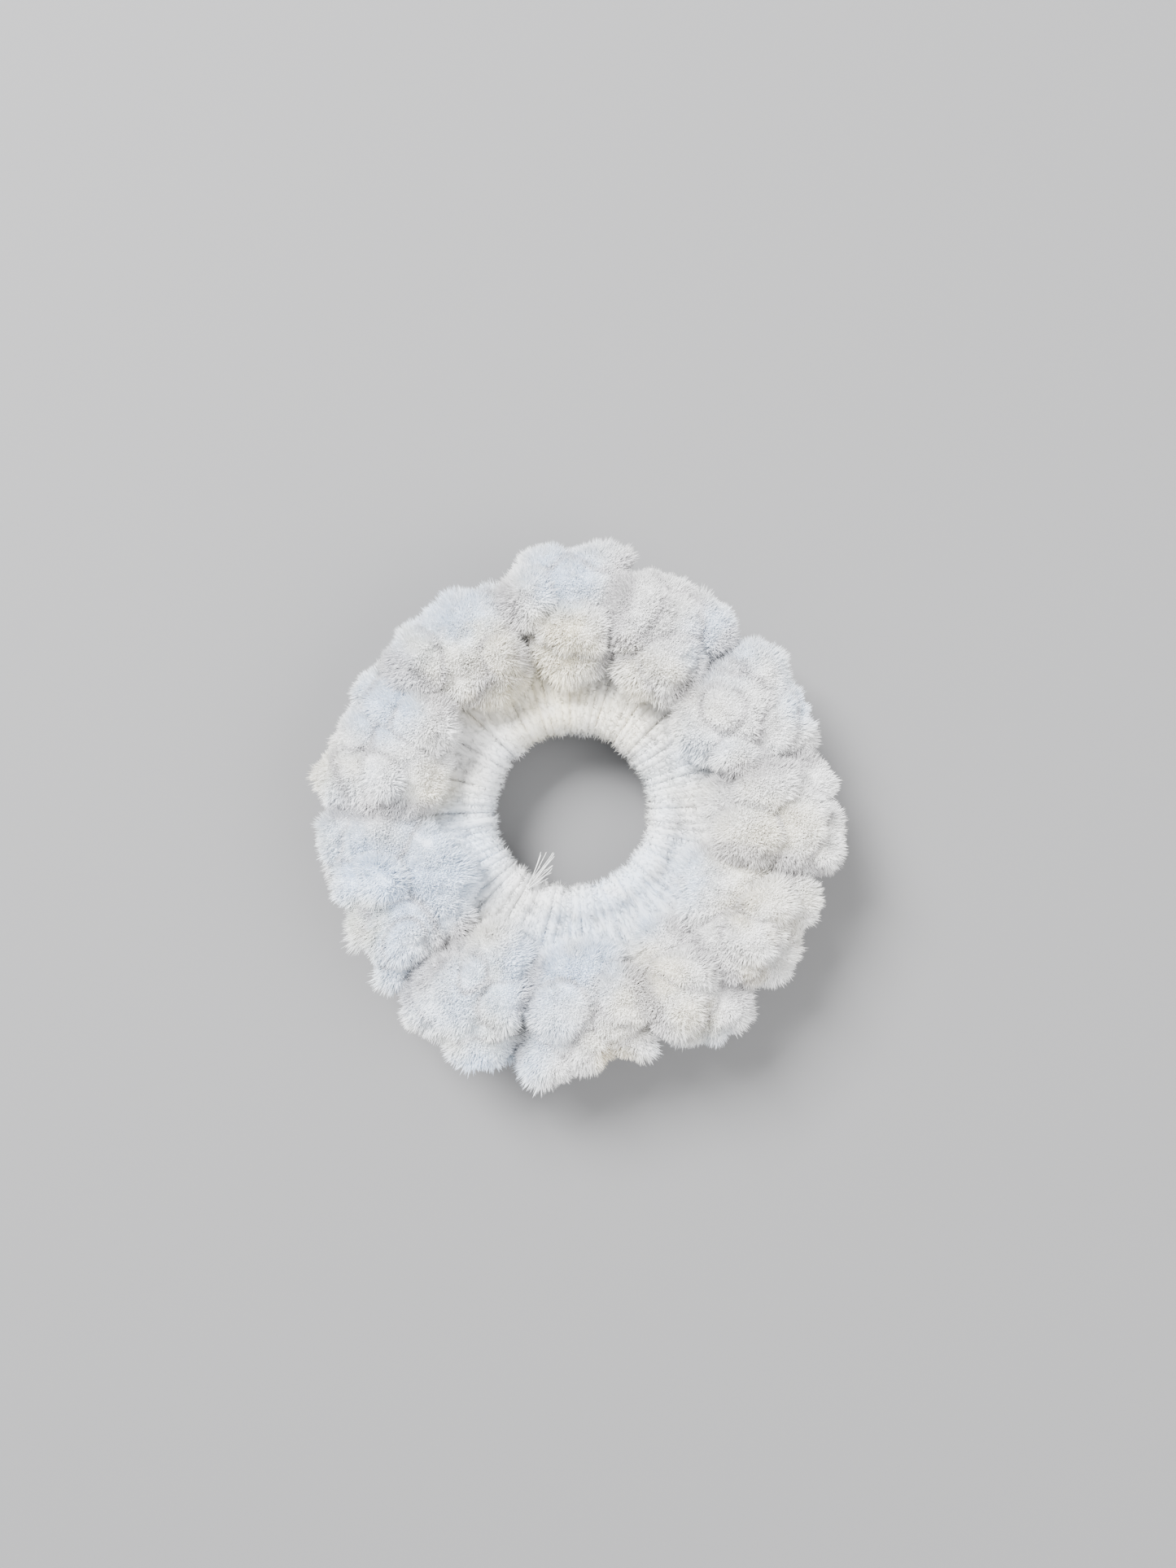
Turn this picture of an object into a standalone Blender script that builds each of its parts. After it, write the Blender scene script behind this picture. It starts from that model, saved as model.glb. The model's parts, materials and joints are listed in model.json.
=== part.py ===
"""A crocheted scrunchie lying flat, with +Z up and hair passing through the middle along Z.

A hair elastic runs inside a base round of stitches. A ruffle round grows out of that base round and
stands up in soft folds, with a second set of folds underneath. The ring is divided into lengths that
slide apart as it stretches. Lengths are in metres and angles in degrees, anticlockwise from +X.
"""

import collections
import math

import bmesh
import bpy

# The middle of the hole, measured from the middle of the whole outline.
HOLE_X = -0.00104
HOLE_Y = 0.00026

# The hair elastic.
ELASTIC_RING_RADIUS = 0.0186
ELASTIC_THICKNESS = 0.004
ELASTIC_HEIGHT = 0.0115

# The base round: a sleeve of stitches over the elastic, and the skirt the folds grow from.
STITCH_WALL = 0.0014
SKIRT_REACH = 0.0197  # how far the skirt stands out past the sleeve
SKIRT_THICKNESS = 0.003
SKIRT_BEVEL = 0.001

# The folds above and below the skirt.
UPPER_FOLD_HEIGHT = 0.0121
LOWER_FOLD_EDGE = 0.0032
UPPER_FOLD_EDGE = 0.0032
LOWER_FOLD_SETBACK = 0.0012
CORNER_ROUNDING = 0.0026
CUSP_REACH = 0.0065  # how far past the sleeve two upper folds first meet
LOWER_FOLD_START = 0.0023
LOWER_FOLD_BOW = 0.003

# Room left between pieces.
FIT_GAP = 0.0003
SIDE_GAP = 0.0005

# The frayed end of the yarn where the base round starts.
TAIL_ANGLE = 241.5
TAIL_THICKNESS = 0.0009

Fold = collections.namedtuple("Fold", "first last start end_first end_middle end_last")

# Each upper fold: its two sides as angles, then how far past the sleeve it starts and ends.
FOLDS = (
    Fold(228, 257, 0.0035, 0.0307, 0.0302, 0.0343),
    Fold(257, 292, 0.0032, 0.0343, 0.0277, 0.0299),
    Fold(292, 313, 0.0039, 0.0301, 0.0303, 0.0327),
    Fold(313, 346, 0.0027, 0.0322, 0.0291, 0.0303),
    Fold(346, 373, 0.0037, 0.0313, 0.0301, 0.0282),
    Fold(373, 407, 0.0029, 0.0275, 0.0282, 0.0269),
    Fold(407, 437, 0.0035, 0.0281, 0.0267, 0.0309),
    Fold(437, 467, 0.0032, 0.0315, 0.0295, 0.0292),
    Fold(467, 500, 0.0035, 0.0287, 0.0249, 0.0283),
    Fold(500, 540, 0.0027, 0.0283, 0.0257, 0.0309),
    Fold(540, 588, 0.0009, 0.0303, 0.0263, 0.0291),
)
CLOSING_ANGLE = 598  # where the two ends of the base round meet
TURN = 360

SKIRT_TOP = ELASTIC_HEIGHT + SKIRT_THICKNESS / 2
SKIRT_BOTTOM = ELASTIC_HEIGHT - SKIRT_THICKNESS / 2
CHANNEL_RADIUS = ELASTIC_THICKNESS / 2 + FIT_GAP
SLEEVE_RADIUS = CHANNEL_RADIUS + STITCH_WALL
SLEEVE_OUTSIDE = ELASTIC_RING_RADIUS + SLEEVE_RADIUS


def clear_scene():
    for obj in list(bpy.data.objects):
        bpy.data.objects.remove(obj)


def at(radius, angle, height):
    turn = math.radians(angle)
    return (
        HOLE_X + radius * math.cos(turn),
        HOLE_Y + radius * math.sin(turn),
        height,
    )


def material(name, color, roughness):
    made = bpy.data.materials.new(name)
    made.use_nodes = True
    shader = made.node_tree.nodes["Principled BSDF"]
    shader.inputs["Base Color"].default_value = (*color, 1)
    shader.inputs["Roughness"].default_value = roughness
    return made


def node(name, mesh, color, roughness=0.9):
    """Turns a closed bmesh into one named object with a material of its own."""
    bmesh.ops.recalc_face_normals(mesh, faces=mesh.faces)
    data = bpy.data.meshes.new(name)
    mesh.to_mesh(data)
    mesh.free()
    data.materials.append(material(name, color, roughness))
    bpy.context.collection.objects.link(bpy.data.objects.new(name, data))


def blended(first, middle, last, side):
    """A smooth curve through three values, as side goes from -1 through 0 to 1."""
    bend = (first + last) / 2 - middle
    return middle + (last - first) / 2 * side + bend * side * side


def cushion(along, side):
    """Height of a soft rounded cushion: 1 in the middle and 0 all round its rim."""
    across = max(0, 1 - abs(side) ** 2.4) ** 0.5
    lengthways = max(0, 1 - abs(2 * along - 1) ** 2.8) ** 0.5
    return across * lengthways


def cushion_solid(rows, columns, upper, lower):
    """A closed solid whose two faces are grids over one outline, joined round the rim."""
    mesh = bmesh.new()
    grids = []
    for surface in (upper, lower):
        grid = []
        for row in range(rows + 1):
            places = [2 * column / columns - 1 for column in range(columns + 1)]
            grid.append([mesh.verts.new(surface(row / rows, side)) for side in places])
        for row in range(rows):
            for column in range(columns):
                near, far = grid[row], grid[row + 1]
                mesh.faces.new(
                    (near[column], near[column + 1], far[column + 1], far[column])
                )
        grids.append(grid)
    top, bottom = (
        grid[0] + [row[-1] for row in grid[1:]] + grid[-1][-2::-1]
        + [row[0] for row in grid[-2:0:-1]]
        for grid in grids
    )
    for index in range(len(top)):
        mesh.faces.new((top[index - 1], top[index], bottom[index], bottom[index - 1]))
    return mesh


def swept_solid(stations):
    """A closed solid through a row of rings of points, capped at both ends."""
    mesh = bmesh.new()
    rings = [[mesh.verts.new(point) for point in station] for station in stations]
    for ring, following in zip(rings, rings[1:]):
        for index in range(len(ring)):
            mesh.faces.new(
                (ring[index - 1], ring[index], following[index], following[index - 1])
            )
    mesh.faces.new(rings[0])
    mesh.faces.new(rings[-1])
    return mesh


def swept_sleeve(outer_stations, inner_stations):
    """A closed solid between two swept rings, open along its middle."""
    mesh = bmesh.new()
    shells = [
        [[mesh.verts.new(point) for point in station] for station in stations]
        for stations in (outer_stations, inner_stations)
    ]
    for rings in shells:
        for ring, following in zip(rings, rings[1:]):
            for index in range(len(ring)):
                mesh.faces.new(
                    (ring[index - 1], ring[index], following[index], following[index - 1])
                )
    for end in (0, -1):
        outer, inner = shells[0][end], shells[1][end]
        for index in range(len(outer)):
            mesh.faces.new((outer[index - 1], outer[index], inner[index], inner[index - 1]))
    return mesh


def side_angle(radius, gap):
    """The angle that a gap of this width takes up at a radius."""
    return math.degrees(gap / radius)


def upper_fold(fold):
    """The outline points and heights of one fold on top of the skirt."""
    middle = (fold.first + fold.last) / 2
    half = (fold.last - fold.first) / 2
    base = SKIRT_TOP + FIT_GAP

    def place(along, side, height):
        start = fold.start + (CUSP_REACH - fold.start) * abs(side) ** 2.2
        end = blended(fold.end_first, fold.end_middle, fold.end_last, side)
        end -= CORNER_ROUNDING * abs(side) ** 5
        radius = SLEEVE_OUTSIDE + start + (end - start) * along
        angle = middle + side * (half - side_angle(radius, SIDE_GAP))
        return at(radius, angle, height)

    def top(along, side):
        rise = (UPPER_FOLD_HEIGHT - UPPER_FOLD_EDGE) * cushion(along, side)
        return place(along, side, base + UPPER_FOLD_EDGE + rise)

    def bottom(along, side):
        return place(along, side, base)

    return cushion_solid(9, 6, top, bottom)


def lower_fold(fold, following, first, last):
    """One fold under the skirt, centred where two upper folds meet, and flat where it lies."""
    middle = (first + last) / 2
    half = (last - first) / 2
    ceiling = SKIRT_BOTTOM - FIT_GAP

    def place(along, side, height):
        start = LOWER_FOLD_START + LOWER_FOLD_BOW * side * side
        meeting = fold.end_last - CORNER_ROUNDING
        end = blended(fold.end_middle, meeting, following.end_middle, side)
        end -= LOWER_FOLD_SETBACK + CORNER_ROUNDING * abs(side) ** 5
        radius = SLEEVE_OUTSIDE + start + (end - start) * along
        angle = middle + side * (half - side_angle(radius, SIDE_GAP))
        return at(radius, angle, height)

    def top(along, side):
        return place(along, side, ceiling)

    def bottom(along, side):
        drop = (ceiling - LOWER_FOLD_EDGE) * min(1, 1.25 * cushion(along, side))
        return place(along, side, ceiling - LOWER_FOLD_EDGE - drop)

    return cushion_solid(6, 5, top, bottom)


def stations(first, last):
    """Angles along one length of the ring, with half a gap left at each end."""
    trim = side_angle(ELASTIC_RING_RADIUS, SIDE_GAP / 2)
    start, end = first + trim, last - trim
    steps = max(1, round((end - start) / 9))
    return [start + (end - start) * step / steps for step in range(steps + 1)]


def circle(radius, sides):
    turns = [2 * math.pi * side / sides for side in range(sides)]
    return [(radius * math.cos(turn), radius * math.sin(turn)) for turn in turns]


def round_section():
    """The outside of the base round: the sleeve over the elastic, drawn out into the skirt."""
    reach = SLEEVE_RADIUS + SKIRT_REACH
    section = circle(SLEEVE_RADIUS, 12)
    section[0] = (reach, 0)
    section[1] = (reach - SKIRT_BEVEL, SKIRT_THICKNESS / 2)
    section[11] = (reach - SKIRT_BEVEL, -SKIRT_THICKNESS / 2)
    section[2] = (SLEEVE_RADIUS * 1.1, SKIRT_THICKNESS / 2)
    section[10] = (SLEEVE_RADIUS * 1.1, -SKIRT_THICKNESS / 2)
    return section


def rings(section, angles):
    return [
        [at(ELASTIC_RING_RADIUS + out, angle, ELASTIC_HEIGHT + up) for out, up in section]
        for angle in angles
    ]


def tail():
    """The frayed end of the yarn, thinning towards its tip inside the hole."""
    rim = ELASTIC_RING_RADIUS - SLEEVE_RADIUS - FIT_GAP
    # Each place on the tail: how far in from the rim, degrees round, height, share of thickness.
    places = (
        (0.0, 0.0, 0.0012, 1.0),
        (0.0013, 0.6, 0.0017, 0.8),
        (0.0027, 1.5, 0.0020, 0.6),
        (0.0039, 2.6, 0.0021, 0.3),
    )
    made = []
    for inwards, turn, lift, share in places:
        radius = rim - inwards
        section = circle(TAIL_THICKNESS / 2 * share, 6)
        made.append(
            [
                at(
                    radius,
                    TAIL_ANGLE + turn + math.degrees(sideways / radius),
                    ELASTIC_HEIGHT + lift + up,
                )
                for sideways, up in section
            ]
        )
    return swept_solid(made)


def build():
    clear_scene()
    # The first sector is shared: its later half starts the ring and its earlier half closes it.
    lengths = [(CLOSING_ANGLE - TURN, FOLDS[0].last)]
    lengths += [(fold.first, fold.last) for fold in FOLDS[1:]]
    lengths.append((FOLDS[-1].last, CLOSING_ANGLE))
    elastic = circle(ELASTIC_THICKNESS / 2, 10)
    channel = circle(CHANNEL_RADIUS, 12)
    for number, (first, last) in enumerate(lengths, 1):
        angles = stations(first, last)
        closing = number == len(lengths)
        name = "elastic_join" if closing else f"elastic_{number:02d}"
        node(name, swept_solid(rings(elastic, angles)), (0.82, 0.81, 0.78), 0.6)
        name = "base_round_closing" if closing else f"base_round_{number:02d}"
        sleeve = swept_sleeve(rings(round_section(), angles), rings(channel, angles))
        node(name, sleeve, (0.86, 0.86, 0.85))

    middles = [(fold.first + fold.last) / 2 for fold in FOLDS]
    middles.append(middles[0] + TURN)
    for number, fold in enumerate(FOLDS, 1):
        node(f"upper_fold_{number:02d}", upper_fold(fold), (0.9, 0.9, 0.9))
        following = FOLDS[number % len(FOLDS)]
        under = lower_fold(fold, following, middles[number - 1], middles[number])
        node(f"lower_fold_{number:02d}", under, (0.84, 0.84, 0.84))
    node("yarn_tail", tail(), (0.93, 0.93, 0.92), 0.5)


build()
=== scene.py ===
# %% [markdown]
# # A crocheted scrunchie in chenille yarn
#
# The whole of this scrunchie is chenille yarn: a thin core with short pile standing out all round it.
# Where the stitches lie side by side, as on the collar, each strand can be seen. Where they crowd
# together, as in the ruffle, only the pile is seen. So one Geometry Nodes tree lays strands along
# paths, and another grows pile on rounded bodies. The packed CAD model gives every place and size.

import json
import math
import random

import bmesh
import bpy
import numpy as np
from mathutils import Matrix, Vector, noise

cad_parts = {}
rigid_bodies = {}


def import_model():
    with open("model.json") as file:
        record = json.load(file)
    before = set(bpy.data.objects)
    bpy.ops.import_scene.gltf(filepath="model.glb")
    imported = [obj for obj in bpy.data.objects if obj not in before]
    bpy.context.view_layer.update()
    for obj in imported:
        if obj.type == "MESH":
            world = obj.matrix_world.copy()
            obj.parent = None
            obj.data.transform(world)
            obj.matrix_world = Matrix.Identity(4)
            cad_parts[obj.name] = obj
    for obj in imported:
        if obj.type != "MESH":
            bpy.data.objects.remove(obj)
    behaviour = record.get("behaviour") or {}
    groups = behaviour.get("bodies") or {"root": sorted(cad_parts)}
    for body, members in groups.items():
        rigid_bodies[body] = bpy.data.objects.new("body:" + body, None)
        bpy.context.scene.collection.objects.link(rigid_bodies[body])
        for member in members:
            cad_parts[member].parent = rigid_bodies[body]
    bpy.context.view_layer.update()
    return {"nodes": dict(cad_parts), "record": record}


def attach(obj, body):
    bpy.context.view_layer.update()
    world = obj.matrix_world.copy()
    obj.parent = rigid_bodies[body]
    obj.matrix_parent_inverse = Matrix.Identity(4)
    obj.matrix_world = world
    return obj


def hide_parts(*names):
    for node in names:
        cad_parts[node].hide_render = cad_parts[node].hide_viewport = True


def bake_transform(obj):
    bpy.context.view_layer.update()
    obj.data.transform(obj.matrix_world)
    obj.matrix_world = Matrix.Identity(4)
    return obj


noise.seed_set(5)  # vector noise depends on this seed, which is otherwise new in each run
for leftover in list(bpy.data.objects):
    bpy.data.objects.remove(leftover)
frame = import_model()

# %% [markdown]
# ## Find the ring in the frame
#
# Every upper fold is hinged at the same distance from the middle of the hole. That distance and the
# middle of the hole come out of the hinge positions by least squares.

# %% Measure the ring
JOINTS = frame["record"]["behaviour"]["joints"]
hinges = [joint for joint in JOINTS if joint["type"] == "hinge"]
rows = []
values = []
for joint in hinges:
    outward = (-joint["axis"][1], joint["axis"][0])
    rows += [(1, 0, outward[0]), (0, 1, outward[1])]
    values += joint["pos_m"][:2]
HOLE_X, HOLE_Y, HINGE_RADIUS = np.linalg.lstsq(np.array(rows), np.array(values), rcond=None)[0]
TURN = 2 * math.pi


def at(radius, angle, height):
    """A point given by its distance and angle from the middle of the hole."""
    return Vector((HOLE_X + radius * math.cos(angle), HOLE_Y + radius * math.sin(angle), height))


def polar(points):
    """Distances and angles of points from the middle of the hole."""
    across, up = points[:, 0] - HOLE_X, points[:, 1] - HOLE_Y
    return np.hypot(across, up), np.arctan2(up, across)


def node_points(name):
    mesh = frame["nodes"][name].data
    points = np.empty(len(mesh.vertices) * 3)
    mesh.vertices.foreach_get("co", points)
    return points.reshape(-1, 3)


print(f"hole middle {HOLE_X * 1000:.2f}, {HOLE_Y * 1000:.2f} mm; hinges at {HINGE_RADIUS * 1000:.2f} mm")

# %% [markdown]
# ## The space of each fold
#
# A ruffle crowds more and more stitches into the same ring, so it stands up in folds that press against
# each other. The CAD model gives each fold a wedge of the ring. Reading the wedges here, instead of
# writing their sizes again, keeps the yarn on the model when a size in it changes.

# %% Sectors of the ruffle
OUTLINE_STEPS = 7


class Sector:
    """The space one CAD fold takes up: its middle angle, half its width and its outline."""

    def __init__(self, name, middle):
        points = node_points(name)
        radius, angle = polar(points)
        aside = (angle - middle + math.pi) % TURN - math.pi
        self.middle = middle
        self.half = abs(aside).max()
        self.inner = radius.min()
        self.low, self.high = points[:, 2].min(), points[:, 2].max()
        self.steps = np.linspace(-self.half, self.half, OUTLINE_STEPS)
        reach = self.half / 5
        self.edge = [radius[abs(aside - step) < reach].max() for step in self.steps]

    def outer(self, aside):
        """How far out the fold reaches at this angle from its middle."""
        return float(np.interp(aside, self.steps, self.edge))


def hinge_angle(joint):
    return math.atan2(joint["axis"][0], -joint["axis"][1])


MIDDLES = [hinge_angle(joint) % TURN for joint in hinges]
UPPER = [Sector(f"upper_fold_{n:02d}", middle) for n, middle in enumerate(MIDDLES, 1)]
COUNT = len(UPPER)
BETWEEN = []
for number, middle in enumerate(MIDDLES):
    step = (MIDDLES[(number + 1) % COUNT] - middle) % TURN
    BETWEEN.append(middle + step / 2)
LOWER = [Sector(f"lower_fold_{n:02d}", middle) for n, middle in enumerate(BETWEEN, 1)]
print("folds:", COUNT, "widths in degrees:", [round(math.degrees(2 * s.half)) for s in UPPER])

# %% [markdown]
# ## The elastic and the skirt
#
# Under the yarn runs a round elastic, and the stitches over it carry the flat skirt that the folds grow
# from. Their radii and heights are read off the CAD nodes in the same way.

# %% Sizes of the ring
GAP = 0.0003  # the room that the CAD model leaves between the skirt and a fold
SKIRT_HIGH, SKIRT_LOW = UPPER[0].low - GAP, LOWER[0].high + GAP
ELASTIC = np.concatenate([node_points(f"elastic_{n:02d}") for n in range(1, COUNT + 1)])
ELASTIC_LOW, ELASTIC_HIGH = ELASTIC[:, 2].min(), ELASTIC[:, 2].max()
ELASTIC_HALF, RING_HEIGHT = (ELASTIC_HIGH - ELASTIC_LOW) / 2, (ELASTIC_HIGH + ELASTIC_LOW) / 2
RING_RADIUS = polar(ELASTIC)[0].max() - ELASTIC_HALF
BASE = np.concatenate([node_points(f"base_round_{n:02d}") for n in range(1, COUNT + 1)])
RIM_RADIUS, SKIRT_RADIUS = polar(BASE)[0].min(), polar(BASE)[0].max()
print(f"radii in mm: elastic {1000 * RING_RADIUS:.1f}, rim {1000 * RIM_RADIUS:.1f}")
print(f"skirt {1000 * SKIRT_RADIUS:.1f} mm, height of the ring {1000 * RING_HEIGHT:.1f} mm")

# %% [markdown]
# ## Node graphs written as Python
#
# A small wrapper lets a node graph read as a formula. Each arithmetic operation adds one Math or
# Vector Math node, and `add` makes any other node from its type, its settings and its inputs.

# %% A wrapper for node graphs
class Value:
    """The output of a node, which Python arithmetic can be done on."""

    def __init__(self, graph, socket):
        self.graph, self.socket = graph, socket

    def output(self, name):
        return Value(self.graph, self.socket.node.outputs[name])

    def _math(self, operation, first, second):
        vector = any(
            isinstance(side, (tuple, Vector))
            or (isinstance(side, Value) and side.socket.type == "VECTOR")
            for side in (first, second)
        )
        kind = "ShaderNodeVectorMath" if vector else "ShaderNodeMath"
        if vector:
            first, second = (
                (side,) * 3 if isinstance(side, (int, float)) else side
                for side in (first, second)
            )
        return self.graph.add(kind, {"operation": operation}, {0: first, 1: second})

    def __add__(self, other):
        return self._math("ADD", self, other)

    def __radd__(self, other):
        return self._math("ADD", other, self)

    def __sub__(self, other):
        return self._math("SUBTRACT", self, other)

    def __rsub__(self, other):
        return self._math("SUBTRACT", other, self)

    def __mul__(self, other):
        return self._math("MULTIPLY", self, other)

    def __rmul__(self, other):
        return self._math("MULTIPLY", other, self)

    def __truediv__(self, other):
        return self._math("DIVIDE", self, other)

    def __rtruediv__(self, other):
        return self._math("DIVIDE", other, self)

    def cosine(self):
        return self._math("COSINE", self, 0)

    def sine(self):
        return self._math("SINE", self, 0)

    def cross(self, other):
        return self._math("CROSS_PRODUCT", self, other)

    def dot(self, other):
        product = self._math("DOT_PRODUCT", self, other)
        return product.output("Value")

    def length(self):
        return self._math("LENGTH", self, (0, 0, 0)).output("Value")

    def between(self, low, high):
        """0 below low and 1 above high, with a smooth step between them."""
        return self.graph.add(
            "ShaderNodeMapRange",
            {"interpolation_type": "SMOOTHSTEP"},
            {"Value": self, "From Min": low, "From Max": high},
        )


print("operations on a value:", [name for name in vars(Value) if not name.startswith("_")])

# %% [markdown]
# ## Adding nodes
#
# Materials and node trees for shapes are filled in the same way: a node is made, its settings are set,
# and each input gets either a plain value or a link. One class does that for both.

# %% A graph to add nodes to
class Graph:
    """A node tree that is filled from Python."""

    def __init__(self, tree):
        self.tree = tree

    def node(self, kind, settings, inputs):
        made = self.tree.nodes.new(kind)
        for name, setting in settings.items():
            setattr(made, name, setting)
        for name, value in inputs.items():
            self.feed(made.inputs[name], value)
        return made

    def feed(self, socket, value):
        if isinstance(value, Value):
            self.tree.links.new(value.socket, socket)
        else:
            socket.default_value = value

    def add(self, kind, settings=None, inputs=None):
        made = self.node(kind, settings or {}, inputs or {})
        return Value(self, next(out for out in made.outputs if out.enabled))

    def mixed(self, amount, first, second):
        settings = {"data_type": "RGBA"}
        made = self.node("ShaderNodeMix", settings, {"Factor": amount, 6: first, 7: second})
        return Value(self, made.outputs[2])


print("ways to fill a graph:", [name for name in vars(Graph) if not name.startswith("_")])

# %% [markdown]
# ## The white of the yarn
#
# The yarn is white, but not evenly: some stretches are cooler and some creamier, and a few small
# patches have yellowed, as white yarn does with wear and washing. Broad tints come from smooth noise in
# the object's own space, so that they run on from one piece to the next.

# %% Tints and helpers for materials
COOL = (0.775, 0.865, 0.985, 1)
PLAIN = (0.915, 0.915, 0.912, 1)
CREAM = (0.935, 0.874, 0.695, 1)
AGED = (0.82, 0.74, 0.56, 1)
# painted shade: the grey that creases and the valleys between folds are darkened towards, and how far
CREASE_SHADE_COLOR = (0.60, 0.585, 0.60, 1)
CREASE_SHADE_STRENGTH = 0.8
DRIFT_SCALE, CREAM_SCALE, UNEVEN_SCALE = 34.0, 47.0, 210.0
CREAM_SHARE = 0.4
STRETCHED = (1.0, 1.0, 0.35)  # tints run further up and down than across
LEVEL = (1.0, 1.0, 0.0)
SHEEN_ROUGHNESS, SPECULAR_LEVEL = 0.6, 0.2


def material(name, roughness, sheen=0.0):
    """A new material, its graph and its shader."""
    made = bpy.data.materials.new(name)
    made.use_nodes = True
    shader = made.node_tree.nodes["Principled BSDF"]
    shader.inputs["Roughness"].default_value = roughness
    shader.inputs["Sheen Weight"].default_value = sheen
    shader.inputs["Sheen Roughness"].default_value = SHEEN_ROUGHNESS
    shader.inputs["Specular IOR Level"].default_value = SPECULAR_LEVEL
    return made, Graph(made.node_tree), shader


def noise_at(graph, place, scale):
    """Smooth noise of this scale, from 0 to 1."""
    inputs = {"Vector": place, "Scale": scale, "Detail": 2.0, "Roughness": 0.5}
    return graph.add("ShaderNodeTexNoise", {}, inputs)


print("whites:", COOL[:3], PLAIN[:3], CREAM[:3])

# %% [markdown]
# ## Tinted patches
#
# White yarn turns creamy where it is often touched and yellows in small spots, while the rest stays a
# cool white. The places that are plainly tinted are listed by angle and distance. Each is a soft spot
# broken up by noise, so that no edge shows. Where puffs meet, less light gets in, so creases are darker.

# %% Patches and yarn materials
# For each tinted place: its angle in degrees, distance from the hole's middle, size, tint and strength.
PATCHES = (
    (133, 0.026, 0.0045, AGED, 0.60),
    (280, 0.0485, 0.0050, AGED, 0.55),
    (318, 0.0465, 0.0040, AGED, 0.40),
    (331, 0.0455, 0.0050, AGED, 0.25),
    (105, 0.0210, 0.0130, CREAM, 0.85),
    (60, 0.0200, 0.0090, CREAM, 0.45),
    (170, 0.0270, 0.0060, CREAM, 0.30),
    (300, 0.0460, 0.0080, CREAM, 0.40),
    (92, 0.0330, 0.0090, CREAM, 0.50),
    (208, 0.0440, 0.0070, CREAM, 0.45),
    (48, 0.0420, 0.0110, COOL, 0.60),
    (92, 0.0450, 0.0110, COOL, 0.80),
    (120, 0.0440, 0.0110, COOL, 0.75),
    (150, 0.0410, 0.0110, COOL, 0.80),
    (188, 0.0430, 0.0090, COOL, 0.45),
    (190, 0.0200, 0.0090, COOL, 0.55),
    (212, 0.0300, 0.0100, COOL, 0.50),
    (243, 0.0380, 0.0120, COOL, 0.60),
    (272, 0.0260, 0.0130, COOL, 0.90),
    (300, 0.0200, 0.0110, COOL, 0.95),
    (328, 0.0220, 0.0110, COOL, 0.75),
)


def yarn_material(name, roughness=0.92, sheen=0.25, aged=1.0):
    """White yarn with drifting tints, tinted patches and painted shade in its creases."""
    made, graph, shader = material(name, roughness, sheen)
    spot = graph.add("ShaderNodeTexCoord").output("Object") * STRETCHED
    drift = noise_at(graph, spot, DRIFT_SCALE).between(0.30, 0.55)
    cream = noise_at(graph, spot + (0.3, 0.1, 0.0), CREAM_SCALE).between(0.48, 0.68)
    color = graph.mixed(drift, COOL, PLAIN)
    color = graph.mixed(cream * CREAM_SHARE, color, CREAM)
    uneven = 0.4 + 0.6 * noise_at(graph, spot, UNEVEN_SCALE).between(0.25, 0.60)
    for degrees, radius, size, tint, strength in PATCHES:
        angle = math.radians(degrees)
        middle = tuple(at(radius, angle, 0.0))
        away = (spot * LEVEL - middle).length()
        inside = 1 - away.between(0.35 * size, size)
        amount = strength * (aged if tint is AGED else 1.0)
        color = graph.mixed(inside * uneven * amount, color, tint)
    # painted shade: grey is mixed in where puffs meet in creases and in the valleys between folds
    crease = graph.add("ShaderNodeAttribute", {"attribute_name": "crease"}).output("Fac")
    color = graph.mixed(crease * CREASE_SHADE_STRENGTH, color, CREASE_SHADE_COLOR)
    graph.feed(shader.inputs["Base Color"], color)
    return made


PLUSH = yarn_material("plush_yarn")
RIBS = yarn_material("ribbed_yarn", aged=0.5)
print("materials:", PLUSH.name, RIBS.name)

# %% [markdown]
# ## Pile for a node tree
#
# In the ruffle the strands are packed so close that their pile makes one soft surface. A node tree
# scatters tufts over a body. Each tuft points the way the surface faces, bent a little by smooth noise
# so that neighbours clump together, and a little at random. Its shading follows the surface under it
# more than its own tiny sides, because light scatters through real fibres and evens them out.

# %% Sizes of the pile and helpers for trees
PILE = {
    "Tufts per Square Metre": 22e6,
    "Pile Length": 0.0010,
    "Fringe Length": 0.0024,
    "Tuft Width": 0.00056,
    "Comb": 0.7,
    "Clump": 1.1,
    "Lean": 0.42,
}
CLUMP_SCALE = 420.0
LENGTH_SCALE = 260.0
HIDDEN_SHARE = 0.88  # the share of tufts left out where another piece covers them
SOFT_SHARE = 0.8  # how far a tuft's shading follows the surface under it
TUFT_SIDES = 3
TUFT_LENGTHS, TUFT_WIDTHS = (0.7, 1.1), (0.7, 1.2)
SOCKETS = {  # the inputs that every tree has
    "Seed": "NodeSocketInt",
    "Material": "NodeSocketMaterial",
    "Hidden Side": "NodeSocketVector",
}


def new_tree(name, source, sizes):
    """An empty tree with an input for its source, one for each size, and the common ones."""
    tree = bpy.data.node_groups.new(name, "GeometryNodeTree")
    face = tree.interface
    face.new_socket(source, in_out="INPUT", socket_type="NodeSocketGeometry")
    for label, value in sizes.items():
        socket = face.new_socket(label, in_out="INPUT", socket_type="NodeSocketFloat")
        socket.default_value = value
    for label, kind in SOCKETS.items():
        face.new_socket(label, in_out="INPUT", socket_type=kind)
    face.new_socket("Result", in_out="OUTPUT", socket_type="NodeSocketGeometry")
    return Graph(tree)


def random_value(graph, low, high, seed):
    """A number between low and high for each point."""
    kind = "FunctionNodeRandomValue"
    return graph.add(kind, {"data_type": "FLOAT"}, {2: low, 3: high, 8: seed})


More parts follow.
